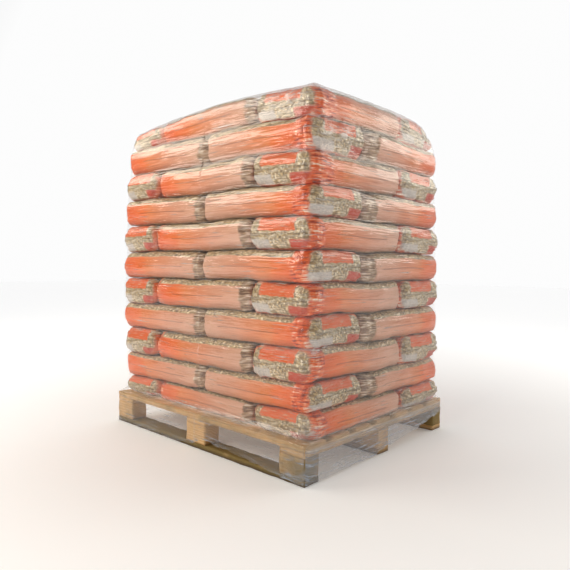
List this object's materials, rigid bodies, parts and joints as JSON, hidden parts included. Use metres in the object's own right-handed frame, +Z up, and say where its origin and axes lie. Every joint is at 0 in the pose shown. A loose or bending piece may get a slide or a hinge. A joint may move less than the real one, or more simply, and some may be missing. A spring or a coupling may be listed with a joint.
{
  "type": "pallet of sacks",
  "caption": "Block pallet of bagged wood pellets: filled plastic sacks stacked in crosswise layers and held by stretch film, with fork pockets on all four sides.",
  "frame": {"origin": "floor level under the middle of the pallet, on the middle bottom board's underside", "axes": "+X along the pallet's 1200 mm side, +Y along its 1000 mm side, away from the face with the two long openings over a bottom board, +Z up"},
  "size_m": [1.2116, 1.0018, 1.4188],
  "materials": {
    "pine": "rough sawn softwood",
    "sack_film": "printed semi-clear polyethylene film over wood pellets",
    "stretch_film": "clear glossy stretch film"
  },
  "bodies": {
    "root": {"bottom_board_1": "pine", "bottom_board_2": "pine", "bottom_board_3": "pine", "block_1": "pine", "block_2": "pine", "block_3": "pine", "block_4": "pine", "block_5": "pine", "block_6": "pine", "block_7": "pine", "block_8": "pine", "block_9": "pine", "stringer_board_1": "pine", "stringer_board_2": "pine", "stringer_board_3": "pine", "deck_board_1": "pine", "deck_board_2": "pine", "deck_board_3": "pine", "deck_board_4": "pine", "deck_board_5": "pine", "deck_board_6": "pine", "deck_board_7": "pine", "layer_01": "sack_film", "layer_02": "sack_film", "layer_03": "sack_film", "layer_04": "sack_film", "layer_05": "sack_film", "layer_06": "sack_film", "layer_07": "sack_film", "layer_08": "sack_film", "layer_09": "sack_film", "layer_10": "sack_film", "layer_11": "sack_film", "stretch_film": "stretch_film"}
  },
  "joints": []
}
